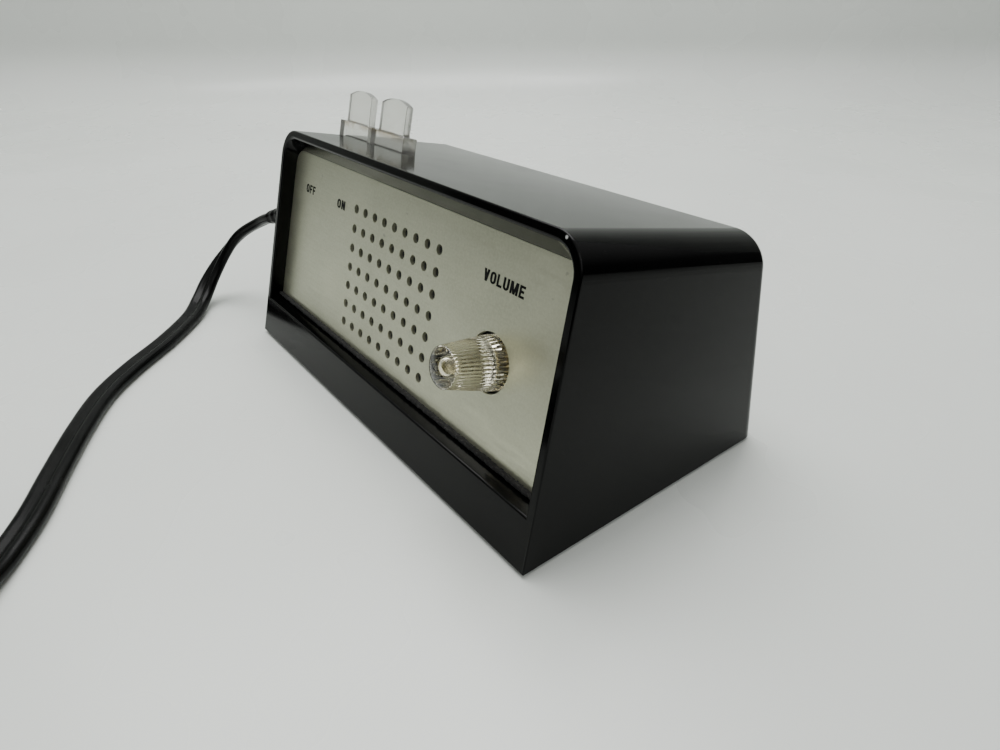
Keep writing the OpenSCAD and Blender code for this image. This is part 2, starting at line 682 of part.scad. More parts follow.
module cord_coil() color([0.04, 0.04, 0.04])
    translate([coil_x, coil_y, coil_z]) rotate_extrude($fn = 72)
        translate([coil_r, 0]) polygon([
            [-coil_half + 1.5, 0], [coil_half - 1.5, 0], [coil_half, 1.5],
            [coil_half, coil_h - 1.5], [coil_half - 1.5, coil_h], [-coil_half + 1.5, coil_h],
            [-coil_half, coil_h - 1.5], [-coil_half, 1.5]
        ]);

module cord_tie() color([0.08, 0.08, 0.08])
    translate([coil_x, coil_y, 0]) rotate(tie_turn) translate([coil_r, 0, 0]) difference() {
        translate([-coil_half - 0.8, -2, 0]) cube([2 * coil_half + 1.6, 4, coil_h + 1.6]);
        translate([-coil_half - 0.2, -3, 0.8]) cube([2 * coil_half + 0.2, 6, coil_h]);
    }

module on_plug() translate([coil_x, coil_y, coil_z + coil_h]) rotate(plug_turn)
    translate([coil_r, 0, 0]) rotate([90, 0, 0]) children();

// moulded plug: a neck at the lead, a wide waisted grip and a flat face with the blades
module plug_body() color([0.04, 0.04, 0.04]) on_plug() difference() {
    union() {
        translate([-7, 0, 0]) cube([14, 11, 8]);
        translate([-11, 0, 8]) cube([22, 14, 6]);
        translate([-9.5, 0, 14]) cube([19, 13, 9]);
        translate([-12, 0, 23]) cube([24, 15, 5]);
    }
    for (s = [-1, 1]) translate([s * 13, -1, 18.5]) rotate([-90, 0, 0]) cylinder(r = 5, h = 18);
}

module plug_blades() color([0.8, 0.72, 0.45]) on_plug()
    for (s = [-1, 1]) translate([s * 6.35, 7.5, 28]) difference() {
        translate([-0.75, -3.2, 0]) cube([1.5, 6.4, 16.5]);
        translate([-2, 0, 12.5]) rotate([0, 90, 0]) cylinder(r = 1.5, h = 4);
    }

// ---- what is drawn ------------------------------------------------------------------

top_shell();
base_plate();
base_screws();
rubber_feet();
front_panel();
foam_strip();
grille_cloth();
chassis_plate();
chassis_screws();
speaker_gasket();
speaker_frame();
speaker_cone();
dust_cap();
voice_coil();
speaker_magnet();
speaker_screws();
pot_body();
pot_bushing();
pot_washer();
pot_nut();
pot_shaft();
pot_wiper();
volume_knob();
key(off_x);  // off_key
key(on_x);  // on_key
plunger(off_x);  // off_plunger
plunger(on_x);  // on_plunger
key_spring(off_x);  // off_spring
key_spring(on_x);  // on_spring
switch_frame();
switch_screws();
latch_bar();
switch_contacts();
circuit_board();
board_standoffs();
board_screws();
capacitors();
resistors();
transistors();
diodes();
output_transformer();
transformer_core();
transformer_bobbin();
transformer_bracket();
transformer_screws();
fuse_holder();
fuse();
terminal_strip();
mains_wires();
speaker_wires();
volume_wires();
strain_relief();
power_cord();
cord_coil();
cord_tie();
plug_body();
plug_blades();
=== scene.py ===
import math
import bmesh
import bpy
from mathutils import Euler, Matrix, Vector, noise


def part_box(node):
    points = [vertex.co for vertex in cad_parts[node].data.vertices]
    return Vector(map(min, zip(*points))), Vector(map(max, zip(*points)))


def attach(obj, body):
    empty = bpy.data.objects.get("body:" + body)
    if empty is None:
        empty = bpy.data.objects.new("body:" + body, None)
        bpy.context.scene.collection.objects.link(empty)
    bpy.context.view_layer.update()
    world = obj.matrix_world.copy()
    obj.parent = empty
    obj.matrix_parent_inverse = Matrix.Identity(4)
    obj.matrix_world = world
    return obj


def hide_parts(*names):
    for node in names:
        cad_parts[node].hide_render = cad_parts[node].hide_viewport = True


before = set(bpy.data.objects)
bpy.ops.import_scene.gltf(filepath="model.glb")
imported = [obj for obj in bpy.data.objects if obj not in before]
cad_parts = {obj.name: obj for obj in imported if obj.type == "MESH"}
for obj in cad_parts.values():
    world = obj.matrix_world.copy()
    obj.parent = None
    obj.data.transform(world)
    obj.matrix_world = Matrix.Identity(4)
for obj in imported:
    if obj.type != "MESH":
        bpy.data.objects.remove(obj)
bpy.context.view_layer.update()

# ---- Housing ----------------------------------------------------------------
# The wedge-shaped case is one moulding in glossy black styrene, open underneath. It has a
# window for the metal front, a slot for each key in the top and a hole for the lead on the
# left. Its outer edges are softly rounded by the mould.
mm = 0.001
base_w = 150.0
front_len = 71.9
front_lean = math.radians(14.74)
side_lean = math.radians(3.72)
rear_lean = math.radians(7.1)
top_fall = math.radians(11.5)
wall = 2.2
shoulder_r = 9.0
recess = 4.5
rim_w = 2.2
chin_top = 13.0
panel_bottom = 14.8
panel_top = 65.9
key_n = 19.5
off_x = -56.0
on_x = -34.6
key_w = 19.9
key_t = 4.75
rear_round = 3
rear_corner = 5
sheet = 1.05
panel_gap = 0.1
slot_gap = 0.2
shell_low, shell_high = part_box("top_shell")
front_y = shell_low.y / mm
rear_y = shell_high.y / mm
foot_h = shell_low.z / mm
front_rise = front_len * math.cos(front_lean)
front_back = front_len * math.sin(front_lean)
side_slope = math.cos(front_lean) * math.tan(side_lean)
rear_rise = front_rise - (rear_y - front_y - front_back) * math.tan(top_fall)
rear_rise /= 1 - math.tan(rear_lean) * math.tan(top_fall)
rear_len = rear_rise / math.cos(rear_lean)
key_us = front_len + key_n * math.tan(front_lean - top_fall)


def on_face(x, u, n):
    """A place given in the leaning front's own frame: across, up the slope, straight out."""
    y = front_y + u * math.sin(front_lean) - n * math.cos(front_lean)
    z = foot_h + u * math.cos(front_lean) + n * math.sin(front_lean)
    return Vector((x, y, z))


def on_rear(x, u, n):
    """A place given in the rear wall's own frame: across, up the wall, into the case."""
    y = rear_y - u * math.sin(rear_lean) - n * math.cos(rear_lean)
    z = foot_h + u * math.cos(rear_lean) - n * math.sin(rear_lean)
    return Vector((x, y, z))


def place(name, shape, unit=mm):
    """A new piece from a bmesh drawn in millimetres, or in another unit given in metres."""
    bmesh.ops.scale(shape, vec=(unit, unit, unit), verts=shape.verts)
    bmesh.ops.recalc_face_normals(shape, faces=shape.faces)
    mesh = bpy.data.meshes.new(name)
    shape.to_mesh(mesh)
    shape.free()
    piece = bpy.data.objects.new(name, mesh)
    bpy.context.scene.collection.objects.link(piece)
    return piece


def skin(shape, rows, closed=True):
    """Faces between rows of points, with each row closed into a ring or left open."""
    for a, b in zip(rows, rows[1:]):
        for i in range(len(a) if closed else len(a) - 1):
            j = (i + 1) % len(a)
            shape.faces.new((a[i], a[j], b[j], b[i]))


def loft(name, rings, looped=False):
    """A skin over rings of points, with flat ends unless it loops back on itself."""
    shape = bmesh.new()
    rows = [[shape.verts.new(p) for p in ring] for ring in rings]
    skin(shape, rows + rows[:1] if looped else rows)
    if not looped:
        shape.faces.new(rows[0])
        shape.faces.new(rows[-1])
    return place(name, shape)


def hull(name, points):
    """The convex skin round a set of points, with its flat sides as single faces."""
    shape = bmesh.new()
    for p in points:
        shape.verts.new(p)
    bmesh.ops.convex_hull(shape, input=shape.verts)
    spare = [v for v in shape.verts if not v.link_faces]
    bmesh.ops.delete(shape, geom=spare, context="VERTS")
    bmesh.ops.dissolve_limit(shape, angle_limit=math.radians(0.2), verts=shape.verts,
                             edges=shape.edges)
    return place(name, shape)


def carve(piece, *cutters):
    """Cuts the cutters out of a piece and deletes them."""
    for cutter in cutters:
        cut = piece.modifiers.new("cut", "BOOLEAN")
        cut.operation = "DIFFERENCE"
        cut.solver = "EXACT"
        cut.object = cutter
    bpy.context.view_layer.update()
    ready = piece.evaluated_get(bpy.context.evaluated_depsgraph_get())
    mesh = bpy.data.meshes.new_from_object(ready)
    piece.modifiers.clear()
    piece.data = mesh
    for cutter in cutters:
        bpy.data.objects.remove(cutter)


def soften(piece, angle=35.0):
    """Smooth shading that keeps the sharp corners and leaves flat faces flat."""
    piece.data.shade_smooth()
    piece.data.set_sharp_from_angle(angle=math.radians(angle))
    even = piece.modifiers.new("even", "WEIGHTED_NORMAL")
    even.keep_sharp = True


def arc(x, u, r, start, end, steps):
    """Points round part of a circle, in degrees."""
    turns = [math.radians(start + (end - start) * k / steps) for k in range(steps + 1)]
    return [(x + r * math.cos(t), u + r * math.sin(t)) for t in turns]


def shoulder_x(rise):
    """How far out the middle of a shoulder's rounding is, at a height above the base."""
    return base_w / 2 - rise * math.tan(side_lean) - shoulder_r / math.cos(side_lean)


def body_points(inset, low, front_rings):
    """Points on the case's form drawn in by inset, for the outside and for the hollow."""
    points = []
    r = shoulder_r - inset
    front_n = -front_rings[0][0]
    front_u = front_len - shoulder_r + front_n * math.tan(front_lean - top_fall)
    rear_n = inset + rear_round
    rear_u = rear_len - shoulder_r + rear_n * math.tan(rear_lean + top_fall)
    front_x = shoulder_x(front_u * math.cos(front_lean) - front_n * math.sin(front_lean))
    rear_x = shoulder_x(rear_u * math.cos(rear_lean) - rear_n * math.sin(rear_lean))
    for s in (-1, 1):
        for n, draw in front_rings:
            for x, u in arc(front_x, front_u, r - draw, -12, 102, 24):
                points.append(on_face(s * x, u, n))
            foot_u = draw - low - n * math.tan(front_lean)
            points.append(on_face(s * (base_w / 2 - inset - draw), foot_u, n))
        for k in range(9):
            a = math.radians(k * 90 / 8)
            n = inset + rear_round * (1 - math.sin(a))
            ring = r - rear_round * (1 - math.cos(a))
            for x, u in arc(rear_x, rear_u, ring, -12, 102, 24):
                points.append(on_rear(s * x, u, n))
        corner = inset + rear_corner
        for x, y in arc(base_w / 2 - corner, rear_y - corner, rear_corner, 0, 90, 10):
            points.append(Vector((s * x, y, foot_h - low)))
    return points


def window_ring(inset, low, high, corner, n):
    """The window's outline at one depth: slanted sides, round upper corners."""
    lean = math.degrees(math.atan(side_slope))
    centre_u = high - corner
    centre_x = base_w / 2 - side_slope * centre_u - inset - corner * math.hypot(1, side_slope)
    right = [(base_w / 2 - side_slope * low - inset, low)]
    right += arc(centre_x, centre_u, corner, lean, 90, 12)
    left = [(-x, u) for x, u in reversed(right)]
    return [on_face(x, u, n) for x, u in right + left]


def window_at(n, wider):
    """The window between the rim and the metal front, which it narrows down to."""
    deep = min(-n / recess, 1)
    low = chin_top + (panel_bottom - chin_top) * deep - wider
    high = front_len - rim_w - (front_len - rim_w - panel_top - panel_gap) * deep + wider
    corner = shoulder_r - rim_w - 1.8 * deep + wider
    return window_ring(rim_w + panel_gap - wider, low, high, corner, n)


edge = 0.45
edge_steps = [math.radians(a) for a in (90, 67, 45, 22, 0)]
outer_rings = [(-edge * (1 - math.sin(a)), edge * (1 - math.cos(a))) for a in edge_steps]
housing = hull("housing_shell", body_points(0, 0, outer_rings))
hollow = hull("hollow", body_points(wall, 1, [(-7, 0)]))
window_rings = [window_ring(rim_w + panel_gap - edge, chin_top - edge,
                            front_len - rim_w + edge, shoulder_r - rim_w + edge, 1)]
window_rings += [window_at(-edge * (1 - math.sin(a)), edge * (1 - math.cos(a)))
                 for a in edge_steps]
window_rings += [window_at(n, 0) for n in (-recess, -recess - sheet)]
window_rings += [window_ring(rim_w + 1.6, panel_bottom + 1, panel_top - 1, 4, n)
                 for n in (-recess - sheet, -9)]
window = loft("window", window_rings)
slots = []
corners = [(-1, -1), (1, -1), (1, 1), (-1, 1)]
slot_half_w = key_w / 2 + slot_gap
slot_half_t = key_t / 2 + slot_gap
for x in (off_x, on_x):
    rings = [[on_face(x + sx * slot_half_w, key_us + u, -key_n + sn * slot_half_t)
              for sx, sn in corners] for u in (-8, 8)]
    slots.append(loft("slot", rings))
exit_y = -21.2
exit_z = 38.6
exit_x = -(base_w / 2 - (exit_z - foot_h) * math.tan(side_lean))
hole_r = 4.2
hole_turns = [t * math.tau / 32 for t in range(32)]
lead_hole = loft("lead_hole", [[Vector((exit_x + d, exit_y + hole_r * math.cos(t),
                                        exit_z + hole_r * math.sin(t)))
                                for t in hole_turns] for d in (-4, 6)])
carve(housing, hollow, window, lead_hole, *slots)
soften(housing, 30)


def plain(name, rough=0.4, metal=0.0, **sockets):
    """A new material of even gloss. Other sockets are set by name, _ for a space."""
    material = bpy.data.materials.new(name)
    material.use_nodes = True
    shader = material.node_tree.nodes["Principled BSDF"]
    shader.inputs["Roughness"].default_value = rough
    shader.inputs["Metallic"].default_value = metal
    for socket, value in sockets.items():
        shader.inputs[socket.replace("_", " ")].default_value = value
    return material, material.node_tree, shader


def grain(tree, scale, stretch=(1, 1, 1), detail=3.0, turn=(0, 0, 0)):
    """Soft noise fixed to the piece. Scale is in patches per metre."""
    where = tree.nodes.new("ShaderNodeTexCoord")
    fit = tree.nodes.new("ShaderNodeMapping")
    fit.inputs["Scale"].default_value = stretch
    fit.inputs["Rotation"].default_value = turn
    clouds = tree.nodes.new("ShaderNodeTexNoise")
    clouds.inputs["Scale"].default_value = scale
    clouds.inputs["Detail"].default_value = detail
    tree.links.new(where.outputs["Object"], fit.inputs["Vector"])
    tree.links.new(fit.outputs["Vector"], clouds.inputs["Vector"])
    return clouds.outputs["Fac"]


def between(tree, value, low, high, start=0.3, end=0.7):
    """A number that runs from low to high as value runs from start to end."""
    span = tree.nodes.new("ShaderNodeMapRange")
    ends = {"From Min": start, "From Max": end, "To Min": low, "To Max": high}
    for socket, number in ends.items():
        span.inputs[socket].default_value = number
    tree.links.new(value, span.inputs["Value"])
    return span.outputs["Result"]


def tones(tree, value, *stops):
    """Colours laid along value: each stop is a place from 0 to 1 and a colour."""
    ramp = tree.nodes.new("ShaderNodeValToRGB")
    while len(ramp.color_ramp.elements) < len(stops):
        ramp.color_ramp.elements.new(0.5)
    for element, (at, colour) in zip(ramp.color_ramp.elements, stops):
        element.position = at
        element.color = (*colour, 1)
    tree.links.new(value, ramp.inputs["Fac"])
    return ramp.outputs["Color"]


def mixed(tree, share, under, over):
    """Two colours, sockets or fixed, mixed by a share."""
    mix = tree.nodes.new("ShaderNodeMix")
    mix.data_type = "RGBA"
    tree.links.new(share, mix.inputs["Factor"])
    for socket, colour in ((mix.inputs[6], under), (mix.inputs[7], over)):
        if isinstance(colour, tuple):
            socket.default_value = (*colour, 1)
        else:
            tree.links.new(colour, socket)
    return mix.outputs[2]


def relief(tree, shader, value, strength, depth):
    """Fine relief. Depth is in metres."""
    bump = tree.nodes.new("ShaderNodeBump")
    bump.inputs["Strength"].default_value = strength
    bump.inputs["Distance"].default_value = depth
    tree.links.new(value, bump.inputs["Height"])
    tree.links.new(bump.outputs["Normal"], shader.inputs["Normal"])


def paint(tree, shader, colour, rough=None):
    """Gives a finish its colour and, where it drifts, its roughness."""
    tree.links.new(colour, shader.inputs["Base Color"])
    if rough is not None:
        tree.links.new(rough, shader.inputs["Roughness"])


def spot(tree, at, size):
    """1 at a point of the piece, falling to 0 at a distance. Both are in millimetres."""
    where = tree.nodes.new("ShaderNodeTexCoord")
    away = tree.nodes.new("ShaderNodeVectorMath")
    away.operation = "DISTANCE"
    away.inputs[1].default_value = Vector(at) * mm
    tree.links.new(where.outputs["Object"], away.inputs[0])
    return between(tree, away.outputs["Value"], 1, 0, size * mm * 0.6, size * mm)


def gloss_black():
    """Polished black styrene with dust, faint rub marks and one chip in the rim."""
    material, tree, shader = plain("gloss_black_styrene", Specular_IOR_Level=0.13)
    dust = between(tree, grain(tree, 2600, detail=1.0), 0, 1, 0.74, 0.8)
    smears = grain(tree, 35, detail=5.0)
    colour = tones(tree, smears, (0.35, (0.0008, 0.0009, 0.0009)), (0.7, (0.002, 0.0022, 0.0021)))
    colour = mixed(tree, dust, colour, (0.02, 0.02, 0.02))
    chip = spot(tree, on_face(64.9, 70.7, -0.1), 0.45)
    colour = mixed(tree, chip, colour, (0.55, 0.56, 0.55))
    paint(tree, shader, colour, between(tree, smears, 0.07, 0.17))
    rubs = grain(tree, 300, (0.08, 1, 6), 6.0, (0.4, 0.2, 0.7))
    relief(tree, shader, rubs, 0.04, 0.00005)
    return material


def dress(piece, material):
    """Gives a piece, or a node of the frame by name, one material all over."""
    if isinstance(piece, str):
        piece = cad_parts[piece]
    piece.data.materials.clear()
    piece.data.materials.append(material)
    return piece


dress(housing, gloss_black())
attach(housing, "housing")
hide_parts("top_shell")

# ---- Base plate, its screws and feet ----------------------------------------
# A pressed steel plate, japanned dark grey, closes the case from below. Four zinc-plated
# pan-head screws hold it to the case, and four thin rubber feet are stuck on under it.


def coated(name, dark, light, rough=(0.35, 0.5), metal=0.0, size=900, depth=0.00003, **sockets):
    """A surface whose tone, gloss and relief all drift with one grain."""
    material, tree, shader = plain(name, metal=metal, **sockets)
    drift = grain(tree, size * 0.12, detail=4.0)
    fine = grain(tree, size, detail=3.0)
    colour = tones(tree, drift, (0.3, dark), (0.7, light))
    paint(tree, shader, colour, between(tree, fine, *rough))
    relief(tree, shader, fine, 0.35, depth)
    return material


dress("base_plate", coated("japanned_steel", (0.025, 0.026, 0.028), (0.06, 0.06, 0.062),
                           (0.3, 0.5), 0.3, 2500))
zinc = coated("zinc_plate", (0.42, 0.43, 0.44), (0.66, 0.66, 0.64), (0.22, 0.4), 1.0, 1500, 0.00001)
dress("base_screws", zinc)
dress("rubber_feet", coated("foot_rubber", (0.02, 0.02, 0.02), (0.045, 0.044, 0.042),
                            (0.6, 0.85), 0.0, 3000, 0.00005))

# ---- Metal front and its lettering ------------------------------------------
# A sheet of aluminium, punched with rows of sound holes and one hole for the knob, then
# satin-brushed across and lacquered. OFF, ON and VOLUME are printed on it in black.
panel_n = -recess


def satin_front():
    """Brushed, lacquered aluminium, slightly warm with age and lightly spotted."""
    material, tree, shader = plain("satin_aluminium", metal=0.85, Coat_Weight=0.15,
                                   Coat_Roughness=0.35)
    drift = grain(tree, 28, detail=4.0)
    brushing = grain(tree, 2200, (0.05, 1, 1), 2.0)
    flecks = grain(tree, 1700, detail=2.0)
    colour = tones(tree, drift, (0.3, (0.50, 0.51, 0.385)), (0.7, (0.61, 0.615, 0.47)))
    colour = mixed(tree, between(tree, flecks, 0, 0.35, 0.35, 0.75), colour, (0.73, 0.74, 0.60))
    stains = between(tree, grain(tree, 420, detail=1.0), 0, 0.5, 0.76, 0.84)
    colour = mixed(tree, stains, colour, (0.25, 0.25, 0.2))
    paint(tree, shader, colour, between(tree, brushing, 0.3, 0.5))
    relief(tree, shader, brushing, 0.25, 0.00002)
    return material


dress("front_panel", satin_front())


ink = coated("print_ink", (0.001, 0.001, 0.001), (0.004, 0.004, 0.004), (0.5, 0.7), 0.0, 5000,
             Specular_IOR_Level=0.15)


def letter(sign):
    """A bold letter as flat pieces in a box one high and one wide."""
    stem, bar, bend = 0.37, 0.2, 0.32
    left = [(0, 0), (stem, 0), (stem, 1), (0, 1)]
    right = [(1 - stem, 0), (1, 0), (1, 1), (1 - stem, 1)]
    bars = {k: [(0, k), (1, k), (1, k + bar), (0, k + bar)] for k in (0, 1 - bar)}
    middle = [(0, 0.41), (0.86, 0.41), (0.86, 0.41 + bar), (0, 0.41 + bar)]
    if sign in "OU":
        turn = range(0, 361, 20) if sign == "O" else range(180, 361, 20)
        rings = []
        for t in turn:
            a = math.radians(t)
            upper = math.sin(a) > 0.01 or (sign == "O" and t in (0, 180, 360))
            mid = 1 - bend if upper else bend
            rings.append([(0.5 + r * math.cos(a), mid + h * math.sin(a))
                          for r, h in ((0.5, bend), (0.5 - stem, bend - bar))])
        bends = [[p[0], q[0], q[1], p[1]] for p, q in zip(rings, rings[1:])]
        side_top = 1 - bend if sign == "O" else 1
        side = [(0, bend), (stem, bend), (stem, side_top), (0, side_top)]
        return bends + [side, [(1 - x, y) for x, y in side]]
    if sign == "V":
        slope = [(0, 1), (0.4, 1), (0.69, 0), (0.31, 0)]
        return [slope, [(1 - x, y) for x, y in slope]]
    return {"F": [left, bars[1 - bar], middle], "E": [left, bars[0], bars[1 - bar], middle],
            "L": [left, bars[0]], "N": [left, right, [(0, 1), (0.4, 1), (1, 0), (0.6, 0)]],
            "M": [[(0, 0), (0.27, 0), (0.27, 1), (0, 1)], [(0.73, 0), (1, 0), (1, 1), (0.73, 1)],
                  [(0.04, 1), (0.32, 1), (0.62, 0), (0.38, 0)],
                  [(0.96, 1), (0.68, 1), (0.38, 0), (0.62, 0)]]}[sign]


def legend(word, x, u, high, wide):
    """A printed word, centred on a place of the metal front, of a given height and width."""
    widths = [{"M": 1.3, "L": 0.88, "E": 0.88, "F": 0.88}.get(sign, 1) for sign in word]
    gap = 0.17
    unit = wide / (sum(widths) + gap * (len(word) - 1))
    low = u - 0.5 * high
    shape = bmesh.new()
    start = x - wide / 2
    for sign, width in zip(word, widths):
        for i, flat in enumerate(letter(sign)):
            n = panel_n + 0.03 + 0.001 * (i % 5)
            places = [on_face(start + w * width * unit, low + h * high, n) for w, h in flat]
            shape.faces.new([shape.verts.new(p) for p in places])
        start += (width + gap) * unit
    piece = place("legend_" + word.lower(), shape)
    dress(piece, ink)
    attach(piece, "housing")


legend("VOLUME", 45.25, 55.65, 2.8, 14.5)
legend("OFF", -55.85, 55.2, 2.7, 6.7)
legend("ON", -34.0, 55.2, 2.7, 5.2)

# ---- Foam strip and sound cloth ---------------------------------------------
# A strip of black foam is pressed under the front's lower edge to stop it buzzing, and has
# begun to crumble. Thin black cloth is glued behind the sound holes.
foam_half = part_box("foam_strip")[1].x / mm
foam_steps = 240


def crumbled_strip():
    """The foam as a long ragged bead: its surface is pitted by noise in the mesh itself."""
    rings = []
    for i in range(foam_steps + 1):
        x = -foam_half + 2 * foam_half * i / foam_steps
        ring = []
        for k in range(12):
            a = math.tau * k / 12
            wide = 0.5 * (1 if abs(math.cos(a)) > 0.01 else 0)
            u = panel_bottom + 0.6 + wide * math.copysign(abs(math.cos(a)) ** 0.5, math.cos(a))
            n = panel_n + 0.85 + 0.8 * math.copysign(abs(math.sin(a)) ** 0.5, math.sin(a))
            pit = noise.noise(Vector((x * 1.7, u * 2.3, n * 2.3)))
            fray = 0.28 * pit + 0.14 * noise.noise(Vector((x * 5, u * 5, n * 5)))
            ring.append(on_face(x, u + fray * math.cos(a), n + fray * math.sin(a)))
        rings.append(ring)
    return loft("crumbling_foam", rings)


foam = crumbled_strip()
foam.data.shade_smooth()


def foam_finish():
    """Open-cell black foam, dry and dusty."""
    material, tree, shader = plain("foam", rough=0.95)
    cells = grain(tree, 2400, detail=4.0)
    crumbs = between(tree, grain(tree, 1500, detail=2.0), 0, 1, 0.55, 0.7)
    colour = mixed(tree, crumbs, (0.004, 0.004, 0.004), (0.035, 0.035, 0.034))
    paint(tree, shader, colour)
    relief(tree, shader, cells, 1.0, 0.0003)
    return material


dress(foam, foam_finish())
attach(foam, "housing")
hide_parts("foam_strip")


# At a scale of 1 the bands of a wave are this far apart, in metres.
band_pitch = 0.314


def stripes(tree, axis, scale, wander=0.0):
    """Even bands along one axis of the piece."""
    where = tree.nodes.new("ShaderNodeTexCoord")
    wave = tree.nodes.new("ShaderNodeTexWave")
    wave.bands_direction = axis
    wave.inputs["Scale"].default_value = scale
    wave.inputs["Distortion"].default_value = wander
    tree.links.new(where.outputs["Object"], wave.inputs["Vector"])
    return wave.outputs["Fac"]


def product(tree, first, second):
    """Two values multiplied."""
    times = tree.nodes.new("ShaderNodeMath")
    times.operation = "MULTIPLY"
    tree.links.new(first, times.inputs[0])
    tree.links.new(second, times.inputs[1])
    return times.outputs["Value"]


def woven(name, dark, light, pitch):
    """A plain weave: two sets of threads crossing, with a raised relief."""
    material, tree, shader = plain(name, rough=0.9, Sheen_Weight=0.2)
    scale = band_pitch / (pitch * mm)
    threads = product(tree, stripes(tree, "X", scale, 0.6), stripes(tree, "Z", scale, 0.6))
    paint(tree, shader, tones(tree, threads, (0.0, dark), (0.8, light)))
    relief(tree, shader, threads, 0.8, 0.0001)
    return material


dress("grille_cloth", woven("sound_cloth", (0.0006, 0.0006, 0.0006), (0.003, 0.003, 0.003), 0.4))

# ---- Chassis ----------------------------------------------------------------
# A sheet of zinc-plated steel stands behind the front and carries the speaker, the volume
# control and the switch. Its foot is screwed down to the base plate.
dress("chassis_plate", coated("chassis_steel", (0.38, 0.39, 0.4), (0.6, 0.6, 0.56), (0.3, 0.5),
                              0.95, 700, 0.00001))
dress("chassis_screws", zinc)

# ---- Speaker ----------------------------------------------------------------
# A small moving-coil speaker: a pressed basket with four windows, a ferrite ring between
# steel plates, a paper cone with a rolled edge, a felt dust cap and a copper voice coil.
dress("speaker_frame", zinc)
dress("speaker_gasket", coated("gasket_cork", (0.05, 0.035, 0.022), (0.12, 0.08, 0.05),
                               (0.8, 0.95), 0.0, 1800, 0.0001))


def cone_paper():
    """Grey-black pulp with fibres pressed into it."""
    material, tree, shader = plain("cone_paper", rough=0.85)
    fibres = grain(tree, 900, (1, 1, 0.2), 6.0, (0.5, 0.3, 0.8))
    colour = tones(tree, fibres, (0.35, (0.025, 0.023, 0.021)), (0.7, (0.1, 0.092, 0.08)))
    paint(tree, shader, colour)
    relief(tree, shader, fibres, 0.6, 0.00008)
    return material


dress("speaker_cone", cone_paper())
dress("dust_cap", woven("felt_cap", (0.012, 0.012, 0.012), (0.05, 0.048, 0.045), 0.3))


def wound_copper():
    """Enamelled copper wire, with the lines of its turns."""
    material, tree, shader = plain("wound_copper", rough=0.3, metal=1.0)
    turns = stripes(tree, "Y", 1600)
    paint(tree, shader, tones(tree, turns, (0.2, (0.35, 0.12, 0.04)), (0.8, (0.75, 0.33, 0.14))))
    relief(tree, shader, turns, 0.6, 0.00005)
    return material


dress("voice_coil", wound_copper())
dress("speaker_magnet", coated("ferrite", (0.03, 0.03, 0.032), (0.09, 0.088, 0.085), (0.45, 0.7),
                               0.35, 1400, 0.00005))
dress("speaker_screws", zinc)

# ---- Volume control ---------------------------------------------------------
# A carbon potentiometer in a plated can. Its threaded brass bush is held to the chassis by
# a washer and a hexagon nut, and its shaft carries the wiper inside and the knob outside.
dress("pot_body", coated("tinned_can", (0.4, 0.39, 0.36), (0.62, 0.6, 0.54), (0.3, 0.48), 0.9, 900))
brass = coated("plated_brass", (0.5, 0.44, 0.3), (0.72, 0.66, 0.5), (0.22, 0.4), 1.0, 1200)
for name in ("pot_bushing", "pot_nut", "pot_wiper"):
    dress(name, brass)
dress("pot_washer", zinc)
dress("pot_shaft", coated("turned_shaft", (0.55, 0.54, 0.5), (0.75, 0.74, 0.7), (0.18, 0.34), 1.0,
                          1600))

# ---- Volume knob ------------------------------------------------------------
# Clear styrene, gone slightly amber. Its side has fine lengthwise ribs up to a smooth domed
# nose, and its inner end is hollow. A blind bore in it is pushed onto the shaft.
knob_x = 45.5
knob_u = 36.8
knob_r = 6.6
knob_tip_r = 4.9
knob_tip_n = panel_n + 14.6
ribs = 42
points_per_rib = 6


def knob_ring(r, n, rib):
    """One ring of the knob, with its ribs cut rib deep."""
    ring = []
    for i in range(ribs * points_per_rib):
        crest = abs(math.sin(math.pi * i / points_per_rib))
        reach = r - rib * (1 - crest)
        a = math.tau * i / (ribs * points_per_rib)
        ring.append(on_face(knob_x + reach * math.cos(a), knob_u + reach * math.sin(a), n))
    return ring


def knob_side(n):
    """Radius of the tapered side at a height out of the front."""
    share = (n - panel_n) / (knob_tip_n - 1.8 - panel_n)
    return knob_r + (knob_tip_r - knob_r) * max(share, 0)


rib_deep = 0.34
profile = [(0.02, 7.42, 0), (0.7, 7.3, 0), (1.35, 6.95, 0), (1.82, 6.35, 0), (2.05, 5.4, 0),
           (2.05, 0, 0), (2.05, -2.2, 0), (2.3, -2.6, 0), (4.6, -2.65, 0), (5.0, -3.0, 0),
           (5.0, -6.4, 0), (5.2, -6.6, 0), (knob_r - 0.15, -6.6, 0), (knob_r, -6.4, rib_deep)]
profile += [(knob_side(n), n, rib_deep) for n in (-4.5, -2, 1, 4, 6.5, 7.6)]
profile += [(knob_side(8.0), 8.0, rib_deep * 0.6), (knob_side(8.25), 8.25, 0)]
profile += [(4.72, 8.5, 0), (4.3, 8.84, 0), (3.6, 9.24, 0), (2.7, 9.63, 0), (1.7, 9.91, 0),
            (0.8, 10.05, 0), (0.02, 10.1, 0)]
knob = loft("knob", [knob_ring(*row) for row in profile])
knob.data.shade_smooth()
knob.data.set_sharp_from_angle(angle=math.radians(50))


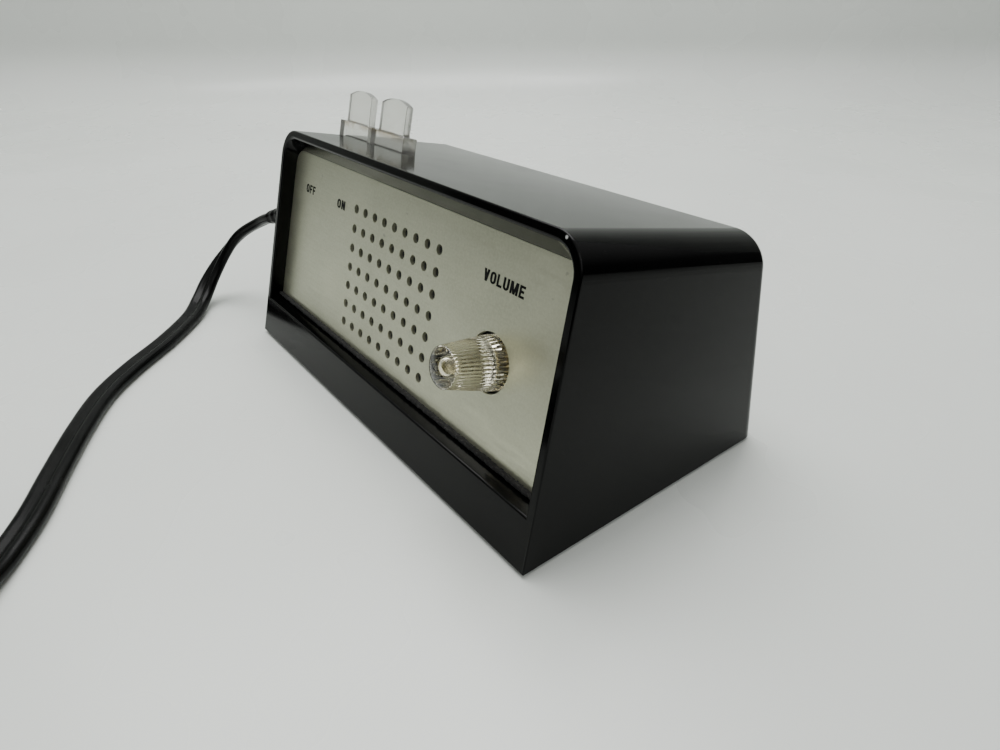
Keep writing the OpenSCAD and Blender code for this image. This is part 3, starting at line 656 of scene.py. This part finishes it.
def amber_clear():
    """Clear styrene, slightly amber, browner in patches of old dirt."""
    material, tree, shader = plain("amber_clear_styrene", rough=0.03, IOR=1.54,
                                   Transmission_Weight=1.0)
    drift = grain(tree, 160, detail=4.0)
    colour = tones(tree, drift, (0.3, (0.86, 0.81, 0.62)), (0.7, (0.95, 0.92, 0.78)))
    dirt = between(tree, grain(tree, 1400, detail=3.0), 0, 0.5, 0.56, 0.7)
    colour = mixed(tree, dirt, colour, (0.62, 0.48, 0.28))
    paint(tree, shader, colour, between(tree, grain(tree, 500), 0.01, 0.05))
    relief(tree, shader, grain(tree, 250, detail=1.0), 0.02, 0.0001)
    return material


dress(knob, amber_clear())
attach(knob, "volume")
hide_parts("volume_knob")

# ---- Keys -------------------------------------------------------------------
# Two push keys, each one moulding in clear acrylic: a block that fills its slot, a thinner
# blade with an arched top for the finger, and a flange and stem that stay inside the case.
block_top = key_us + 4.6
blade_w = 15.0
blade_t = 2.3
blade_top = key_us + 14.5
arch_r = 18.0
flange_u = key_us - wall - 0.95
flange_low = flange_u - 1.4
flange_half_w = 6.5
flange_lip = 1.5
stem_u = 64.5


def key_ring(x, half_w, half_t, corner, u, arched=False):
    """A flat rounded outline: out along the front of the key and back along its rear."""
    shares = [(0, 1), (0.3, 0.3), (1, 0)]
    ends = [(half_w - corner * a, half_t - corner * b) for a, b in shares]
    spans = [(half_w - corner) * (1 - 2 * k / 9) for k in range(1, 9)]
    front = ends + [(s, half_t) for s in spans] + [(-w, t) for w, t in reversed(ends)]
    outline = front + [(w, -t) for w, t in reversed(front)]
    rise = [math.sqrt(arch_r ** 2 - w ** 2) - arch_r if arched else 0 for w, t in outline]
    return [on_face(x + w, u + up, -key_n + t) for (w, t), up in zip(outline, rise)]


def clear_key(name, x):
    """The whole key from stem to arched top, as one closed skin."""
    half_w, half_t, blade_h, blade_n = key_w / 2, key_t / 2, blade_w / 2, blade_t / 2
    rows = [(4, 1.5, 0.3, stem_u), (4, 1.5, 0.3, flange_low),
            (flange_half_w, half_t + flange_lip, 0.3, flange_low),
            (flange_half_w, half_t + flange_lip, 0.3, flange_u),
            (flange_half_w, half_t, 0.3, flange_u), (half_w, half_t, 0.3, flange_u),
            (half_w, half_t, 0.3, block_top - 0.25),
            (half_w - 0.08, half_t - 0.08, 0.3, block_top - 0.08),
            (half_w - 0.25, half_t - 0.25, 0.3, block_top),
            (blade_h + 0.2, blade_n + 0.2, 0.3, block_top),
            (blade_h, blade_n, 0.2, block_top + 0.2)]
    rings = [key_ring(x, *row) for row in rows]
    rings.append(key_ring(x, blade_h, blade_n, 0.2, blade_top - 0.18, True))
    rings.append(key_ring(x, blade_h - 0.06, blade_n - 0.06, 0.2, blade_top - 0.05, True))
    rings.append(key_ring(x, blade_h - 0.18, blade_n - 0.18, 0.2, blade_top, True))
    shape = bmesh.new()
    made = [[shape.verts.new(p) for p in ring] for ring in rings]
    skin(shape, made)
    count = len(made[0])
    for end in (made[0], made[-1]):
        for i in range(count // 2 - 1):
            shape.faces.new((end[i], end[i + 1], end[count - 2 - i], end[count - 1 - i]))
    key = place(name, shape)
    soften(key, 40)
    return key


def clear_acrylic():
    """Clear acrylic, with brown dirt along the upper edge of the block and fine scratches."""
    material, tree, shader = plain("clear_acrylic", rough=0.03, IOR=1.49, Transmission_Weight=0.86)
    where = tree.nodes.new("ShaderNodeTexCoord")
    along = tree.nodes.new("ShaderNodeVectorMath")
    along.operation = "DOT_PRODUCT"
    up = Vector((0, math.sin(front_lean), math.cos(front_lean)))
    along.inputs[1].default_value = up
    tree.links.new(where.outputs["Object"], along.inputs[0])
    level = on_face(0, block_top, -key_n).dot(up) * mm
    high = between(tree, along.outputs["Value"], 0, 1, level - 0.0022, level - 0.0002)
    below = between(tree, along.outputs["Value"], 1, 0, level + 0.0001, level + 0.0006)
    patches = between(tree, grain(tree, 260, detail=5.0), 0, 0.85, 0.42, 0.62)
    specks = between(tree, grain(tree, 900, detail=1.0), 0, 0.5, 0.72, 0.78)
    dirt = product(tree, product(tree, patches, high), below)
    colour = tones(tree, grain(tree, 120), (0.3, (0.84, 0.845, 0.80)), (0.7, (0.93, 0.93, 0.89)))
    colour = mixed(tree, specks, colour, (0.5, 0.48, 0.42))
    colour = mixed(tree, dirt, colour, (0.34, 0.22, 0.07))
    paint(tree, shader, colour, between(tree, grain(tree, 700, (0.3, 1, 1)), 0.04, 0.16))
    relief(tree, shader, grain(tree, 240, detail=3.0), 0.06, 0.0001)
    return material


acrylic = clear_acrylic()
for name, x in (("off", off_x), ("on", on_x)):
    key = clear_key(name + "_clear_key", x)
    dress(key, acrylic)
    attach(key, name + "_button")
    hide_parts(name + "_key")

# ---- Switch -----------------------------------------------------------------
# Each key pushes a bakelite plunger against a coil spring through a folded steel frame. The
# ON plunger slides the latch bar, and two pairs of brass blades make the contacts.
bakelite = coated("bakelite", (0.02, 0.014, 0.01), (0.055, 0.038, 0.028), (0.28, 0.45), 0.0, 700)
spring_steel = coated("spring_steel", (0.45, 0.45, 0.46), (0.68, 0.68, 0.66), (0.2, 0.35),
                      1.0, 2500)
for name in ("off", "on"):
    dress(name + "_plunger", bakelite)
    dress(name + "_spring", spring_steel)
dress("switch_frame", coated("frame_steel", (0.4, 0.4, 0.38), (0.64, 0.63, 0.58), (0.3, 0.5), 0.95))
dress("switch_screws", zinc)
dress("latch_bar", coated("latch_steel", (0.42, 0.4, 0.34), (0.62, 0.6, 0.52), (0.28, 0.44), 0.95))
dress("switch_contacts", coated("contact_brass", (0.5, 0.34, 0.14), (0.78, 0.56, 0.27),
                                (0.2, 0.38), 1.0, 1800))

# ---- Circuit board and its parts --------------------------------------------
# A phenolic-paper board on four turned standoffs, with electrolytic cans, carbon resistors,
# small transistors, diodes and a small output transformer soldered to it.


def phenolic():
    """Brown phenolic paper with a faint weave of fibres under its gloss."""
    material, tree, shader = plain("phenolic_board", Coat_Weight=0.2)
    fibres = grain(tree, 700, (1, 0.25, 1), 6.0)
    blotch = grain(tree, 60, detail=3.0)
    colour = tones(tree, blotch, (0.3, (0.24, 0.13, 0.05)), (0.7, (0.36, 0.21, 0.09)))
    colour = mixed(tree, between(tree, fibres, 0, 0.4), colour, (0.45, 0.3, 0.15))
    paint(tree, shader, colour, between(tree, fibres, 0.35, 0.5))
    relief(tree, shader, fibres, 0.3, 0.00004)
    return material


dress("circuit_board", phenolic())
dress("board_standoffs", brass)
dress("board_screws", zinc)
dress("capacitors", coated("capacitor_sleeve", (0.03, 0.07, 0.16), (0.06, 0.12, 0.25),
                           (0.3, 0.42), 0.0, 600))


def banded_resistor():
    """Tan lacquer with colour bands round the body."""
    material, tree, shader = plain("resistor_lacquer", Coat_Weight=0.3)
    tan = tones(tree, grain(tree, 900), (0.3, (0.42, 0.28, 0.15)), (0.7, (0.55, 0.39, 0.22)))
    bands = between(tree, stripes(tree, "Y", 180), 0, 1, 0.8, 0.86)
    which = tones(tree, grain(tree, 170), (0.42, (0.25, 0.03, 0.02)), (0.55, (0.45, 0.3, 0.03)),
                  (0.7, (0.1, 0.05, 0.02)))
    fine = grain(tree, 1500)
    paint(tree, shader, mixed(tree, bands, tan, which), between(tree, fine, 0.3, 0.45))
    relief(tree, shader, fine, 0.2, 0.00003)
    return material


dress("resistors", banded_resistor())
epoxy = coated("black_epoxy", (0.012, 0.012, 0.013), (0.035, 0.034, 0.033), (0.35, 0.55))
dress("transistors", epoxy)
dress("diodes", epoxy)
dress("output_transformer", coated("waxed_core", (0.16, 0.14, 0.1), (0.3, 0.26, 0.19),
                                   (0.4, 0.6), 0.3))

# ---- Mains supply -----------------------------------------------------------
# The mains transformer is a stack of steel laminations round a paper bobbin, clamped by a
# plated bracket. The fuse sits in two clips, and the lead ends at a tag strip.


def laminated(pitch):
    """Stacked steel sheets: fine dark lines and patches of varnish and rust."""
    material, tree, shader = plain("laminations", metal=0.7)
    sheets = stripes(tree, "Y", band_pitch / (pitch * mm), 0.3)
    rust = grain(tree, 150, detail=5.0)
    colour = tones(tree, rust, (0.4, (0.2, 0.195, 0.19)), (0.75, (0.26, 0.16, 0.09)))
    lines = between(tree, sheets, 1, 0, 0.1, 0.4)
    colour = mixed(tree, lines, colour, (0.04, 0.035, 0.03))
    paint(tree, shader, colour, between(tree, rust, 0.4, 0.7))
    relief(tree, shader, sheets, 0.5, 0.00006)
    return material


dress("transformer_core", laminated(0.5))
dress("transformer_bobbin", coated("bobbin_paper", (0.4, 0.32, 0.16), (0.6, 0.5, 0.28),
                                   (0.5, 0.7), 0.0, 500, 0.00006))
dress("transformer_bracket", zinc)
dress("transformer_screws", zinc)
dress("fuse_holder", bakelite)
dress("fuse", coated("fuse_glass", (0.55, 0.58, 0.56), (0.75, 0.77, 0.74), (0.05, 0.15), 0.0, 400,
                     0.00001, Coat_Weight=0.6))
dress("terminal_strip", phenolic())

# ---- Inside wires -----------------------------------------------------------
# Stranded hook-up wire in plastic: black from the lead to the tag strip, red to the speaker
# and blue to the volume control.
dress("mains_wires", coated("wire_black", (0.012, 0.012, 0.012), (0.03, 0.03, 0.03), (0.3, 0.5)))
dress("speaker_wires", coated("wire_red", (0.3, 0.015, 0.01), (0.45, 0.03, 0.02), (0.3, 0.5)))
dress("volume_wires", coated("wire_blue", (0.01, 0.05, 0.22), (0.02, 0.09, 0.35), (0.3, 0.5)))

# ---- Mains lead -------------------------------------------------------------
# A flat twin lead in black vinyl, 1.8 m long: two cores side by side with a groove between
# them. It leaves the left wall, drops to the table, runs round in front and is put away in a
# round coil of two layers, four turns wide, wound on edge.
lead_w = 7.3
lead_t = 3.7
route = [
    (-74, -21.2, 38.6), (-83, -22.3, 38.3), (-92, -25, 36), (-102, -27.5, 32), (-112, -33.5, 25.5),
    (-116.4, -40.4, 17), (-115.4, -47.6, 9.4), (-109.6, -54.2, 4), (-99.8, -61.2, 2.1),
    (-85, -74, 1.9), (-72, -87.5, 1.9), (-59, -98.5, 1.9), (-43, -107.5, 1.9),
    (-26, -115.5, 1.9), (-10, -122.7, 1.9), (3, -130.2, 2), (12, -136.2, 2.8),
    (20, -142.6, 3.7)
]
coil_centre = Vector((-3, -180, 0))
coil_r = 38.0
lane = 3.95
layer_z = (4.55, 12.25)
plug_turn = 225.0
plug_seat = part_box("cord_coil")[1].z / mm
plug_neck_z = plug_seat + 5.5


def smooth(points, steps):
    """A curve through given points, with that many steps from each to the next."""
    curve = []
    for i in range(len(points) - 1):
        picks = (max(i - 1, 0), i, i + 1, min(i + 2, len(points) - 1))
        a, b, c, d = (Vector(points[k]) for k in picks)
        for k in range(steps):
            t = k / steps
            curve.append(0.5 * (2 * b + (c - a) * t + (2 * a - 5 * b + 4 * c - d) * t ** 2
                                + (3 * b - a - 3 * c + d) * t ** 3))
    return curve + [Vector(points[-1])]


def ease(value, start, end):
    """0 before start, 1 after end, and a gentle rise between."""
    share = min(max((value - start) / (end - start), 0), 1)
    return share * share * (3 - 2 * share)


def coil_course():
    """The coil's middle line, and how far the lead is turned on edge at each point."""
    entry = Vector(route[-1]) - coil_centre
    first = math.degrees(math.atan2(entry.y, entry.x))
    total = 360 * 6 + first - (plug_turn - 360)
    line = []
    count = int(total / 4)
    for i in range(1, count + 1):
        wound = total * i / count
        r = math.hypot(entry.x, entry.y)
        for full in (360, 720, 1080):
            r -= lane * ease(wound, full - 50, full + 50)
        for full in (1800, 2160):
            r += lane * ease(wound, full - 200, full - 100)
        r += (coil_r - r) * ease(wound, total - 50, total)
        z = entry.z + (layer_z[0] - entry.z) * ease(wound, 0, 60)
        z += (layer_z[1] - layer_z[0]) * ease(wound, 1310, 1390)
        z += (plug_neck_z - layer_z[1]) * ease(wound, total - 95, total - 20)
        a = math.radians(first - wound)
        line.append((coil_centre + Vector((r * math.cos(a), r * math.sin(a), z)),
                     1 - ease(wound, total - 60, total - 5)))
    return line


def edgewise(point):
    """How far the lead has rolled up onto its edge where its middle has risen off the table."""
    rise = (point.z - route[-3][2]) / (lead_w / 2 - lead_t / 2)
    return math.asin(min(max(rise, 0), 1)) / (math.pi / 2)


route_steps = 5
flat_run = smooth(route, route_steps)
rolling = len(flat_run) - 3 * route_steps
course = [(p, edgewise(p) if i > rolling else 0.0) for i, p in enumerate(flat_run)]
course += coil_course()
tail = Vector((math.sin(math.radians(plug_turn)), -math.cos(math.radians(plug_turn)), 0))
course.append((course[-1][0] + tail * 2, 0.0))


def lead_section():
    """Half sizes round the lead: two round cores joined by a grooved web."""
    core = lead_t / 2
    middle = lead_w / 2 - core
    right = arc(middle, 0, core, 90, -90, 8)
    web = [(0.62 * middle, 0.93 * core), (0.3 * middle, 0.74 * core), (0, 0.64 * core),
           (-0.3 * middle, 0.74 * core), (-0.62 * middle, 0.93 * core)]
    left = [(-x, -y) for x, y in right]
    return right + [(x, -y) for x, y in web] + left + [(-x, y) for x, y in web]


def swept(name, line, section):
    """A section carried along a line of points, each with its share of a quarter turn."""
    points = [p for p, _ in line]
    rings = []
    for i, (p, share) in enumerate(line):
        ahead = (points[min(i + 1, len(points) - 1)] - points[max(i - 1, 0)]).normalized()
        side = Vector((0, 0, 1)).cross(ahead).normalized()
        up = ahead.cross(side)
        roll = math.radians(90 * share)
        wide = side * math.cos(roll) + up * math.sin(roll)
        thin = up * math.cos(roll) - side * math.sin(roll)
        rings.append([p + wide * a + thin * b for a, b in section])
    return loft(name, rings)


lead = swept("mains_lead", course, lead_section())
soften(lead, 60)


def black_vinyl():
    """Soft black vinyl: a low sheen with handling marks and lint."""
    material, tree, shader = plain("black_vinyl", Specular_IOR_Level=0.1)
    marks = grain(tree, 90, detail=5.0)
    lint = between(tree, grain(tree, 3000, (0.3, 1, 1), 1.0), 0, 0.8, 0.75, 0.82)
    colour = tones(tree, marks, (0.35, (0.0012, 0.0013, 0.0013)), (0.7, (0.003, 0.0031, 0.003)))
    colour = mixed(tree, lint, colour, (0.03, 0.03, 0.03))
    paint(tree, shader, colour, between(tree, marks, 0.16, 0.3))
    relief(tree, shader, grain(tree, 1200, detail=4.0), 0.12, 0.00004)
    return material


vinyl = black_vinyl()
dress(lead, vinyl)
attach(lead, "housing")
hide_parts("power_cord", "cord_coil")

# ---- Strain relief ----------------------------------------------------------
# A tapered vinyl sleeve, moulded round the lead and snapped into the wall. Shallow grooves
# round it let it bend with the lead.


def oval(half_w, half_h, power=2.6, count=28):
    """A rounded oval outline, squarer than an ellipse."""
    outline = []
    for k in range(count):
        a = math.tau * k / count
        x = math.copysign(abs(math.cos(a)) ** (2 / power), math.cos(a))
        y = math.copysign(abs(math.sin(a)) ** (2 / power), math.sin(a))
        outline.append((half_w * x, half_h * y))
    return outline


def relief_sleeve():
    """The sleeve along the lead's first stretch, thinning to its tip."""
    line = smooth(route[:4], 12)[:25]
    out = Vector((-math.cos(side_lean), 0, math.sin(side_lean)))
    side = Vector((0, -1, 0))
    rings = []
    flange = [(-wall - 2, 3.9), (-wall - 1.8, 4.1), (0.1, 4.1), (0.1, 5.4), (1, 5.4), (1.35, 5)]
    for away, r in flange:
        middle = Vector((exit_x, exit_y, exit_z)) + out * away
        rings.append([middle + side * a + out.cross(side) * b for a, b in oval(r, r, 2)])
    for i, p in enumerate(line):
        share = i / (len(line) - 1)
        ahead = (line[min(i + 1, 24)] - line[max(i - 1, 0)]).normalized()
        side = Vector((0, 0, 1)).cross(ahead).normalized()
        up = ahead.cross(side)
        groove = 0.28 if i % 4 == 2 and 3 < i < 23 else 0
        half_w, half_h = 4.9 - 0.7 * share - groove, 4.4 - 1.9 * share - groove
        rings.append([p + side * a + up * b for a, b in oval(half_w, half_h)])
    return loft("relief_sleeve", rings)


sleeve = relief_sleeve()
soften(sleeve, 50)
dress(sleeve, vinyl)
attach(sleeve, "housing")
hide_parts("strain_relief")

# ---- Plug -------------------------------------------------------------------
# A two-pin plug moulded onto the lead in the same vinyl, with finger hollows at each side
# and two folded brass blades. It lies on the coil.
seat = coil_centre + Vector((0, 0, plug_seat))
radial = Vector((math.cos(math.radians(plug_turn)), math.sin(math.radians(plug_turn)), 0))
plug_rows = [
    (0, 5.0, 4.0, 5.5), (0.6, 6.0, 4.8, 5.5), (1.5, 6.6, 5.3, 5.5), (3, 6.9, 5.4, 5.5),
    (3.6, 6.3, 4.9, 5.5), (4.4, 6.3, 4.9, 5.5), (5, 7.0, 5.4, 5.6), (7, 7.6, 5.6, 5.8),
    (8.6, 9.6, 6.4, 6.5), (10, 10.6, 6.8, 6.9), (13, 10.4, 6.8, 7.0), (16, 9.0, 6.6, 7.0),
    (18.5, 8.2, 6.5, 7.0), (21, 8.9, 6.6, 7.1), (23, 11.0, 7.2, 7.4), (24, 11.8, 7.4, 7.5),
    (27.3, 11.9, 7.45, 7.5), (27.8, 11.6, 7.2, 7.5), (28, 11.0, 6.8, 7.5)
]
plug_rings = []
for along, half_w, half_h, mid in plug_rows:
    heart = seat + radial * coil_r + tail * along + Vector((0, 0, mid))
    outline = oval(half_w, half_h, 3.2)
    plug_rings.append([heart + radial * a + Vector((0, 0, b)) for a, b in outline])
plug = loft("moulded_plug", plug_rings)
rounder = plug.modifiers.new("rounder", "SUBSURF")
rounder.levels = 1
rounder.render_levels = 1
plug.data.shade_smooth()
dress(plug, vinyl)
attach(plug, "housing")
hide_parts("plug_body")
dress("plug_blades", coated("blade_brass", (0.5, 0.4, 0.2), (0.75, 0.64, 0.38), (0.22, 0.4), 1.0,
                            900))

# ---- Coil tie ---------------------------------------------------------------
# A strap of black hook-and-loop tape holds the turns together.
coil_half = 7.9
tie_half_w = coil_half + 0.4
tie_low = 0.4
tie_high = plug_seat + 0.45


def strap():
    """The strap's course round the turns: a band with rounded corners, one of them cut off."""
    out = Vector((1, 0, 0))
    along = Vector((0, 1, 0))
    middle = coil_centre + out * coil_r
    corner = 1.6
    step = layer_z[0] + lead_w / 2 + 0.4
    line = arc(tie_half_w - corner, tie_low + corner, corner, -90, 0, 5)
    line += arc(tie_half_w - corner, step - corner, corner, 0, 44, 3)
    line += arc(tie_half_w - lane - corner, tie_high - corner, corner, 46, 90, 3)
    line += arc(-tie_half_w + corner, tie_high - corner, corner, 90, 180, 5)[1:]
    line += arc(-tie_half_w + corner, tie_low + corner, corner, 180, 270, 5)
    rings = []
    for i, (w, z) in enumerate(line):
        back, front = line[i - 1], line[(i + 1) % len(line)]
        dw, dz = front[0] - back[0], front[1] - back[1]
        size = math.hypot(dw, dz)
        nw, nz = dz / size, -dw / size
        band = [(-2, 0.3), (2, 0.3), (2.05, 0), (2, -0.3), (-2, -0.3), (-2.05, 0)]
        rings.append([middle + out * (w + nw * t) + Vector((0, 0, z + nz * t)) + along * s
                      for s, t in band])
    return loft("coil_strap", rings, looped=True)


tie = strap()
soften(tie, 50)
dress(tie, woven("strap_tape", (0.008, 0.008, 0.008), (0.035, 0.035, 0.036), 0.5))
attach(tie, "housing")
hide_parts("cord_tie")

# ---- Studio -----------------------------------------------------------------
# A pale sweep of painted board, lit by a large soft light overhead, a weak fill from the
# right and a soft wash over its upright end.
view_heading = Vector((-0.793, 0.610, 0))
across = Vector((0.610, 0.793, 0))
sweep_profile = [(-1.6, 0.0), (-0.8, 0.0), (-0.3, 0.0), (0.0, 0.0), (0.3, 0.0), (0.5, 0.0)]
sweep_r = 0.06
for t in range(0, 91, 10):
    a = math.radians(t)
    sweep_profile.append((0.56 + sweep_r * math.sin(a), sweep_r * (1 - math.cos(a))))
sweep_profile += [(0.62, 0.3), (0.62, 0.75)]
shape = bmesh.new()
rows = [[shape.verts.new(view_heading * d + across * w + Vector((0, 0, h)))
         for d, h in sweep_profile] for w in (-2.2, -1, 0, 1, 2.2)]
skin(shape, rows, closed=False)
board = place("studio_sweep", shape, 1.0)
board.data.shade_smooth()


def painted_board():
    """White-painted board with a satin coat and the faintest mottling."""
    material, tree, shader = plain("painted_board", rough=0.3)
    drift = grain(tree, 3, detail=4.0)
    colour = tones(tree, drift, (0.3, (0.655, 0.685, 0.65)), (0.7, (0.725, 0.755, 0.715)))
    paint(tree, shader, colour, between(tree, grain(tree, 12), 0.22, 0.34))
    return material


dress(board, painted_board())


def soft_light(name, at, towards, size, power):
    """A square soft box."""
    lamp = bpy.data.lights.new(name, "AREA")
    lamp.shape = "SQUARE"
    lamp.size = size
    lamp.energy = power
    holder = bpy.data.objects.new(name, lamp)
    holder.location = at
    holder.rotation_mode = "QUATERNION"
    holder.rotation_quaternion = (Vector(towards) - Vector(at)).to_track_quat("-Z", "Y")
    bpy.context.scene.collection.objects.link(holder)


soft_light("overhead", (-0.4, 0.1, 1.1), (0, 0, 0), 0.9, 14)
soft_light("fill", (0.9, -0.3, 0.9), (0, 0, 0), 0.8, 2)
soft_light("wall_wash", (-0.15, 0.25, 0.7), (-0.5, 0.4, 0.15), 0.4, 1.6)

world = bpy.data.worlds.new("room")
bpy.context.scene.world = world
world.use_nodes = True
room = world.node_tree
sky = room.nodes["Background"]
sky.inputs["Strength"].default_value = 1.0
facing = room.nodes.new("ShaderNodeTexCoord")
parts = room.nodes.new("ShaderNodeSeparateXYZ")
room.links.new(facing.outputs["Generated"], parts.inputs["Vector"])
height = tones(room, parts.outputs["Z"], (0.0, (0.03, 0.03, 0.032)), (0.2, (0.05, 0.05, 0.052)),
               (0.75, (0.75, 0.76, 0.75)), (1.0, (0.9, 0.9, 0.88)))
room.links.new(height, sky.inputs["Color"])

# ---- Camera -----------------------------------------------------------------
# It looks down at the front from the right, close enough for a wide lens. Its tilt is
# measured up from straight down, and its heading round the vertical.
camera_at = (0.1499, -0.1055, 0.1091)
tilt = math.radians(59.325)
roll = math.radians(0.317)
heading = math.radians(52.239)
lens = bpy.data.cameras.new("camera")
lens.lens = 23.51
lens.sensor_width = 36
lens.clip_start = 0.005
camera = bpy.data.objects.new("camera", lens)
aim = Euler((tilt, roll, heading)).to_matrix()
camera.matrix_world = Matrix.Translation(camera_at) @ aim.to_4x4()
bpy.context.scene.collection.objects.link(camera)
bpy.context.scene.camera = camera
